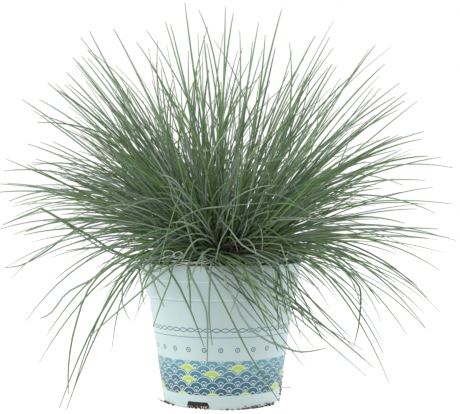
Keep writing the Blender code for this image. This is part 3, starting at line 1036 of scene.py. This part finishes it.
# The leaves that stand out on their own in front of the pot and at both sides, as points in millimetres.
MARKED_PATHS_MM = (
    ((-18, -34, 164), (-44, -88, 149), (-86, -95, 114), (-127, -100, 78)),
    ((-22, -30, 163), (-66, -62, 153), (-92, -66, 140), (-98, -70, 112), (-90, -74, 92)),
    ((-12, -36, 160), (-58, -70, 152), (-76, -84, 130), (-74, -88, 108)),
    ((0, -36, 161), (-2, -86, 149), (9, -100, 122), (30, -98, 84), (66, -93, 66), (83, -90, 63),
     (103, -86, 66)),
    ((-6, -36, 162), (-16, -86, 149), (-3, -98, 123), (17, -100, 83), (30, -98, 58), (57, -96, 15)),
    ((-14, -34, 162), (-52, -72, 151), (-40, -84, 124), (-28, -88, 99), (-16, -88, 67)),
    ((-8, -36, 162), (-31, -84, 148), (-19, -94, 118), (-13, -95, 97), (-13, -94, 54)),
    ((-12, -36, 160), (-31, -85, 149), (-30, -92, 125), (-29, -92, 102)),
    ((-4, -38, 160), (-9, -88, 149), (-11, -94, 120), (-11, -95, 97), (-8, -94, 70)),
    ((-26, -28, 162), (-68, -60, 150), (-66, -68, 128), (-56, -72, 105)),
    ((-32, -18, 160), (-80, -40, 150), (-82, -42, 132), (-79, -41, 115)),
    ((-34, -20, 160), (-84, -62, 152), (-62, -76, 132), (-54, -80, 125)),
    ((-34, -10, 165), (-93, -18, 151), (-141, -20, 176), (-184, -20, 200), (-192, -20, 200),
     (-228, -20, 185)),
    ((-36, -8, 166), (-86, -16, 152), (-121, -20, 159), (-164, -22, 188), (-172, -22, 189), (-203, -22, 178)),
    ((-34, 0, 172), (-80, -10, 189), (-121, -14, 190), (-151, -16, 181), (-181, -18, 159), (-206, -20, 144),
     (-227, -20, 140)),
    ((-34, 0, 170), (-88, -12, 188), (-133, -18, 184), (-170, -20, 168), (-201, -20, 147), (-219, -20, 129)),
    ((-36, -20, 162), (-92, -38, 154), (-133, -40, 129), (-157, -42, 116), (-173, -42, 96), (-185, -42, 90)),
    ((-36, -20, 162), (-94, -40, 153), (-131, -46, 126), (-148, -50, 81), (-154, -52, 43), (-154, -52, 15)),
    ((34, -8, 166), (90, -14, 172), (139, -20, 176), (189, -20, 182), (226, -20, 181)),
    ((36, -16, 164), (88, -34, 156), (118, -40, 146), (138, -40, 127), (143, -40, 114), (141, -40, 84),
     (136, -40, 63)),
)
PALE_PATHS_MM = (
    ((-28, -22, 170), (-44, -80, 186), (-23, -108, 200), (2, -113, 204), (47, -114, 208)),
    ((-14, -36, 160), (-41, -88, 169), (-62, -92, 180), (-82, -90, 182), (-98, -84, 176)),
    ((-10, -38, 160), (-24, -88, 160), (-29, -108, 175), (-36, -112, 196), (-45, -112, 210),
     (-51, -110, 237)),
    ((-4, -38, 158), (-5, -92, 151), (0, -110, 171), (10, -114, 189), (16, -114, 210), (18, -108, 258)),
    ((-8, -34, 166), (-2, -90, 190), (8, -112, 183), (20, -114, 168), (39, -114, 157), (59, -110, 147),
     (95, -100, 125)),
    ((10, -36, 166), (28, -84, 186), (37, -104, 186), (40, -108, 171), (39, -108, 159)),
    ((20, -32, 170), (52, -80, 215), (68, -98, 226), (77, -104, 210), (81, -104, 195)),
    ((16, -34, 168), (35, -52, 189), (60, -58, 193), (97, -60, 192), (119, -58, 189)),
    ((18, -32, 168), (38, -56, 186), (66, -60, 191), (92, -62, 192), (126, -60, 184)),
)
MARKED_TONE = 0.3
MARKED_WIDTH = (0.0019, 0.0027)
PALE_TONE = 0.12
PALE_WIDTH = (0.0014, 0.0018)
SHEAF_LEAVES = 34
SHEAF_ROOT_HEADINGS = (-40, 20)
SHEAF_ROOT_LEANS = (68, 86)
SHEAF_LIP_HEADINGS = (-16, 44)
SHEAF_LIP_RISE = (0.002, 0.010)
SHEAF_NEAR_TIP_MM = (52, -104, 68)
SHEAF_FAR_TIP_MM = (150, -74, 48)
SHEAF_NEAR_POWER = 1.3
SHEAF_TIP_SPREAD = 0.007
SHEAF_LENGTHS = (0.5, 1.05)
SHEAF_BULGE = 0.006
SHEAF_RISE = (-0.002, 0.010)
SHEAF_WIDTH = (0.0013, 0.0020)
LYING_LEAVES = 22
LYING_HEADINGS = (-75, 15)
LYING_ROOT_LEANS = (70, 86)
LYING_TURN = (25, 75)
LYING_REACH = (0.095, 0.170)
LYING_HEIGHT = (0.125, 0.190)
LYING_ARCH = (0.04, 0.15)
RIM_LEAVES = 12
RIM_HEADINGS = (-60, 35)
RIM_ROOT_LEANS = (74, 88)
RIM_TURN = (18, 46)
RIM_LIFT = (0, 0.006)
RIM_ON_MIX = (0.35, 0.062, 0.155)
RIM_AT_LIP = (1.0, 0.083, 0.149)
RIM_TIP_TURN = 1.6
RIM_TIP_REACH = (0.105, 0.135)
RIM_TIP_HEIGHT = (0.115, 0.150)
RIM_TONE = 0.25


def sheaf_over_lip(chance):
    """Leaves that spill together over the front of the lip and spread downwards to the right."""
    near, far = in_metres((SHEAF_NEAR_TIP_MM, SHEAF_FAR_TIP_MM))
    leaves = []
    for number in range(SHEAF_LEAVES):
        heading = chance.uniform(*SHEAF_LIP_HEADINGS)
        at_lip = spot(heading, LIP_RADIUS + LEAF_CLEARANCE, POT_HEIGHT + chance.uniform(*SHEAF_LIP_RISE))
        tip = near.lerp(far, chance.random() ** SHEAF_NEAR_POWER) + scatter(chance, SHEAF_TIP_SPREAD)
        tip = at_lip.lerp(tip, chance.uniform(*SHEAF_LENGTHS))
        bulge = Vector((0, -SHEAF_BULGE, chance.uniform(*SHEAF_RISE)))
        root = crown_point(chance.uniform(*SHEAF_ROOT_HEADINGS), chance.uniform(*SHEAF_ROOT_LEANS))
        points = [root, at_lip, at_lip.lerp(tip, 0.5) + bulge, tip]
        leaves.append(leaf_along(points, chance.uniform(*SHEAF_WIDTH), leaf_tone(chance, STRAY_TONE), chance))
    return leaves


def lying_leaves(chance):
    """Leaves that lie low round the front of the crown, crossing over the mix and the lip."""
    leaves = []
    for number in range(LYING_LEAVES):
        heading = chance.uniform(*LYING_HEADINGS)
        root = crown_point(heading, chance.uniform(*LYING_ROOT_LEANS))
        to_side = heading + chance.choice((-1, 1)) * chance.uniform(*LYING_TURN)
        tip = spot(to_side, chance.uniform(*LYING_REACH), chance.uniform(*LYING_HEIGHT))
        leaves.append(leaf_between(root, tip, chance.uniform(*LYING_ARCH), chance.gauss(0, 0.08), chance))
    return leaves


def rim_leaves(chance):
    """Leaves that sink on the mix and turn aside along the front of the lip before they pass over it."""
    leaves = []
    for number in range(RIM_LEAVES):
        heading = chance.uniform(*RIM_HEADINGS)
        turn = chance.choice((-1, 1)) * chance.uniform(*RIM_TURN)
        lift = chance.uniform(*RIM_LIFT)
        points = [crown_point(heading, chance.uniform(*RIM_ROOT_LEANS))]
        for share, reach, height in (RIM_ON_MIX, RIM_AT_LIP):
            points.append(spot(heading + share * turn, reach, height + lift))
        tip_heading = heading + RIM_TIP_TURN * turn
        points.append(spot(tip_heading, chance.uniform(*RIM_TIP_REACH), chance.uniform(*RIM_TIP_HEIGHT)))
        leaves.append(leaf_along(points, chance.uniform(*SHEAF_WIDTH), leaf_tone(chance, RIM_TONE), chance))
    return leaves


stray_chance = random.Random(STRAY_SEED)
edge_leaves = [stray_leaf(spread_in_depth(Stray(*numbers)), stray_chance) for numbers in STRAYS_MM]
edge_leaves += [stray_leaf(Stray(*numbers), stray_chance) for numbers in LOW_STRAYS_MM]
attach(grow_leaves("stray_leaves_edge", edge_leaves, fescue_leaf), "root")
front_leaves = [crossing_leaf(Crossing(*numbers), stray_chance) for numbers in ACROSS_THE_FRONT_MM]
front_leaves += sheaf_over_lip(stray_chance)
front_leaves += lying_leaves(stray_chance)
front_leaves += rim_leaves(stray_chance)
for points_mm in MARKED_PATHS_MM + PALE_PATHS_MM:
    is_pale = points_mm in PALE_PATHS_MM
    tone = PALE_TONE if is_pale else leaf_tone(stray_chance, MARKED_TONE)
    width = stray_chance.uniform(*(PALE_WIDTH if is_pale else MARKED_WIDTH))
    front_leaves.append(leaf_along(in_metres(points_mm), width, tone, stray_chance))
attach(grow_leaves("stray_leaves_front", front_leaves, fescue_leaf), "root")


# Dead leaves
# Last year's leaves have dried to pale, grey straw. Some have curled up at the edge of the mix, and thin
# ones lie along the lip. Older ones have rotted to a brown mat on the right of the crown.
DEAD_SEED = 4
STRAW_WIDTH = (0.0009, 0.0015)
STRAW_TONE = 1.0
CURL_TONE = 0.96
STRAW_PATCHES = 180.0
STRAW_TONES = ((0.35, (0.34, 0.38, 0.31)), (0.65, (0.56, 0.60, 0.53)))
OLD_TONES = ((0.35, (0.030, 0.021, 0.013)), (0.65, (0.105, 0.085, 0.052)))
OLD_AGE = (0, 0.25)
OLD_LEAVES = 150
OLD_HEADINGS = (12, 85)
OLD_ROOT_LEANS = (55, 88)
OLD_REACH = (0.052, 0.081)
OLD_BEND = (-12, 12)
OLD_TIP_TURN = (-30, 30)
OLD_MIDDLE_HEIGHT = (0.156, 0.170)
OLD_TIP_HEIGHT = (0.149, 0.170)
OLD_WIDTH = (0.0012, 0.0021)
CURL_CENTRES_MM = ((-50, -93, 158, 5.0), (-41, -94, 157, 4.6), (-41.5, -92, 157.6, 3.6))
CURL_TURNS = 1.15
CURL_SHRINK = 0.15
CURL_WOBBLE = 0.16
STRAWS_MM = (
    ((8, -50, 158), (-12, -84, 151), (-38, -80, 146), (-66, -64, 139), (-94, -50, 141)),
    ((2, -44, 160), (-20, -84, 151), (-44, -80, 147), (-64, -66, 141), (-92, -52, 136)),
    ((-16, -36, 160), (-26, -74, 152), (-52, -70, 150), (-76, -50, 149)),
    ((6, -40, 158), (-10, -84, 149), (-36, -79, 149), (-60, -62, 150)),
    ((0, -40, 160), (22, -80, 151), (42, -76, 149), (66, -60, 150)),
    ((-24, -30, 162), (-46, -64, 154), (-62, -56, 151), (-86, -36, 150)),
)


def curled_leaf(centre, radius, chance):
    """A dry leaf wound into a loose coil that lies against the foliage."""
    start = chance.uniform(0, math.tau)
    points = []
    for step in range(LEAF_STEPS + 1):
        share = step / LEAF_STEPS
        turn = start + share * CURL_TURNS * math.tau
        reach = radius * (1 - CURL_SHRINK * share) * (1 + CURL_WOBBLE * math.sin(2 * turn + start))
        offset = Vector((reach * math.cos(turn), radius * (share - 0.5), reach * math.sin(turn) * 0.9))
        points.append(centre + offset)
    return leaf_through(points, STRAW_WIDTH[0], CURL_TONE, 0.4, chance.gauss(0, 0.4))


def straw_skin():
    material, tree, shader = new_material("dead_leaf")
    patches = clouds(tree, piece_place(tree), STRAW_PATCHES, 3.0)
    is_straw = maths(tree, "GREATER_THAN", attribute(tree, "tone"), 0.5)
    colour = blend(tree, is_straw, ramp(tree, patches, OLD_TONES), ramp(tree, patches, STRAW_TONES))
    set_inputs(tree, shader, {"Base Color": colour, "Roughness": 0.75})
    return material


def old_leaves(chance):
    """Short brown leaves of past years, matted low on the right of the crown."""
    leaves = []
    for number in range(OLD_LEAVES):
        heading = chance.uniform(*OLD_HEADINGS)
        reach = chance.uniform(*OLD_REACH)
        half_way = 0.6 * reach + 0.015
        points = [
            crown_point(heading, chance.uniform(*OLD_ROOT_LEANS)),
            spot(heading + chance.uniform(*OLD_BEND), half_way, chance.uniform(*OLD_MIDDLE_HEIGHT)),
            spot(heading + chance.uniform(*OLD_TIP_TURN), reach, chance.uniform(*OLD_TIP_HEIGHT)),
        ]
        leaves.append(leaf_along(points, chance.uniform(*OLD_WIDTH), chance.uniform(*OLD_AGE), chance))
    return leaves


dead_chance = random.Random(DEAD_SEED)
dead_leaves = [
    curled_leaf(Vector((x, y, z)) / 1000, radius / 1000, dead_chance) for x, y, z, radius in CURL_CENTRES_MM
]
for points_mm in STRAWS_MM:
    width = dead_chance.uniform(*STRAW_WIDTH)
    dead_leaves.append(leaf_along(in_metres(points_mm), width, STRAW_TONE, dead_chance))
dead_leaves += old_leaves(dead_chance)
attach(grow_leaves("dead_leaves", dead_leaves, straw_skin()), "root")


# Crumbs at the foot
# Peat and root ends have been squeezed out through the notches. They cling to the foot of the wall, and one
# root end sticks out on the right.
CRUMB_PATCHES = (
    ("in the notch", -22.4, 11, 0.0530, 0.0605, 0.0002, 0.0050, 90),
    ("left foot", -62, 12, 0.0605, 0.0625, 0.0003, 0.0022, 34),
    ("front foot", 30, 30, 0.0600, 0.0622, 0.0002, 0.0018, 80),
    ("right foot", 42, 19, 0.0600, 0.0630, 0.0003, 0.0040, 70),
    ("right wall", 84, 9, 0.0618, 0.0632, 0.0010, 0.0300, 42),
)
CRUMB_SEED = 12
CRUMB_LOW_POWER = 1.8
CRUMB_SIZE = (0.0007, 0.0026)
CRUMB_SQUASH = (1.0, 0.8, 0.6)
CRUMB_CLOUDS = 500.0
CRUMB_TONES = ((0.35, (0.012, 0.007, 0.004)), (0.55, (0.045, 0.026, 0.014)), (0.75, (0.15, 0.09, 0.045)))
FIBRE_RADIUS = 0.00028
FIBRE_SIDES = 6
FIBRES_MM = (
    ((60.5, -6, 12.5), (66, -8, 14.0), (72.5, -9, 13.6)), ((61, -8, 22), (62.5, -9, 26), (62.8, -7, 31)),
    ((-57, -22, 1.0), (-62, -24, 3.0), (-67, -22, 5.5)), ((-52, -32, 0.8), (-58, -30, 2.2), (-63, -26, 3.4)),
    ((38, -49, 0.8), (46, -45, 2.0), (53, -37, 2.6)), ((20, -58, 0.6), (30, -55, 1.6), (36, -51, 3.4)),
    ((-33, -52, 0.8), (-25, -57, 2.6), (-14, -58, 1.0)), ((-30, -50, 3.6), (-24, -54, 1.4), (-16, -56, 3.0)),
)


def crumb_skin():
    material, tree, shader = new_material("peat_crumb")
    soil = ramp(tree, clouds(tree, piece_place(tree), CRUMB_CLOUDS, 4.0), CRUMB_TONES)
    set_inputs(tree, shader, {"Base Color": soil, "Roughness": 0.9})
    return material


def add_crumbs():
    shape = bmesh.new()
    chance = random.Random(CRUMB_SEED)
    for patch, heading, half_angle, inner, outer, low, high, count in CRUMB_PATCHES:
        for number in range(count):
            turn = heading + chance.uniform(-half_angle, half_angle)
            height = low + (high - low) * chance.random() ** CRUMB_LOW_POWER
            reach = chance.uniform(inner, outer)
            if patch == "right wall":
                reach = wall_radius(height) + chance.uniform(0, 0.0008)
            size = Vector([chance.uniform(*CRUMB_SIZE) * factor for factor in CRUMB_SQUASH])
            add_lump(shape, spot(turn, reach, max(height, size.z / 2)), size, chance)
    for points_mm in FIBRES_MM:
        first, middle, last = in_metres(points_mm)
        facet = facet_at(shape, first, last - first, FIBRE_SIDES, FIBRE_RADIUS)
        for place in ((first + 2 * middle) / 3, (2 * middle + last) / 3, last):
            facet = drawn_out(shape, [facet])[0]
            bmesh.ops.translate(shape, verts=facet.verts, vec=place - facet.calc_center_median())
    close_holes(shape)
    for point in shape.verts:
        point.co.z = max(point.co.z, 0)
    crumbs = add_piece("peat_crumbs", shape, crumb_skin(), 60)


add_crumbs()


# Floor, light and camera
# A grey table that glows white, with a softbox above the front left and one at each side, as in a catalogue
# studio. The camera stands nearly level, a little above the pot's lip, about a metre away.
IMAGE_WIDTH = 460
IMAGE_HEIGHT = 414
FOCAL_LENGTH_PX = 988
CAMERA_ASIDE = 0.0091
HORIZON_PX = 209.7
FLOOR_SIZE = 12
FLOOR_COLOUR = (0.12, 0.12, 0.12)
FLOOR_GLOW = 1.0
WHITE = (1, 1, 1, 1)
SOFTBOXES = (
    ("overhead_softbox", (-0.4, -1.25, 1.15), 1.3, 13),
    ("left_softbox", (-1.2, -0.15, 0.40), 0.9, 14),
    ("right_softbox", (1.2, 0.0, 0.40), 0.9, 12),
)


def add_floor():
    shape = bmesh.new()
    bmesh.ops.create_grid(shape, x_segments=1, y_segments=1, size=FLOOR_SIZE / 2)
    floor = add_object("floor", mesh_of("floor", shape))
    material, tree, shader = new_material("light_table")
    set_inputs(tree, shader, {
        "Base Color": (*FLOOR_COLOUR, 1), "Roughness": 0.8, "Specular IOR Level": 0.1,
        "Emission Color": WHITE, "Emission Strength": FLOOR_GLOW,
    })
    floor.data.materials.append(material)


def add_light(name, place, size, power):
    """A square softbox at a place, aimed at the middle of the clump."""
    lamp = bpy.data.lights.new(name, "AREA")
    lamp.size = size
    lamp.energy = power
    light = add_object(name, lamp)
    light.location = place
    aim = Vector((0, 0, POT_HEIGHT)) - light.location
    light.rotation_euler = aim.to_track_quat("-Z", "Y").to_euler()
    light.visible_camera = False


def add_camera():
    lens = bpy.data.cameras.new("camera")
    lens.sensor_width = 36
    lens.lens = FOCAL_LENGTH_PX / IMAGE_WIDTH * lens.sensor_width
    camera = add_object("camera", lens)
    camera.location = (CAMERA_ASIDE, -CAMERA_DISTANCE, CAMERA_HEIGHT)
    rise = math.atan((HORIZON_PX - IMAGE_HEIGHT / 2) / FOCAL_LENGTH_PX)
    camera.rotation_euler = (math.radians(90) + rise, 0, 0)
    bpy.context.scene.camera = camera


world = bpy.data.worlds.new("studio")
world.use_nodes = True
set_inputs(world.node_tree, world.node_tree.nodes["Background"], {"Color": WHITE, "Strength": 1.0})
bpy.context.scene.world = world
bpy.context.scene.view_settings.view_transform = "Standard"
add_floor()
for name, place, size, power in SOFTBOXES:
    add_light(name, place, size, power)
add_camera()
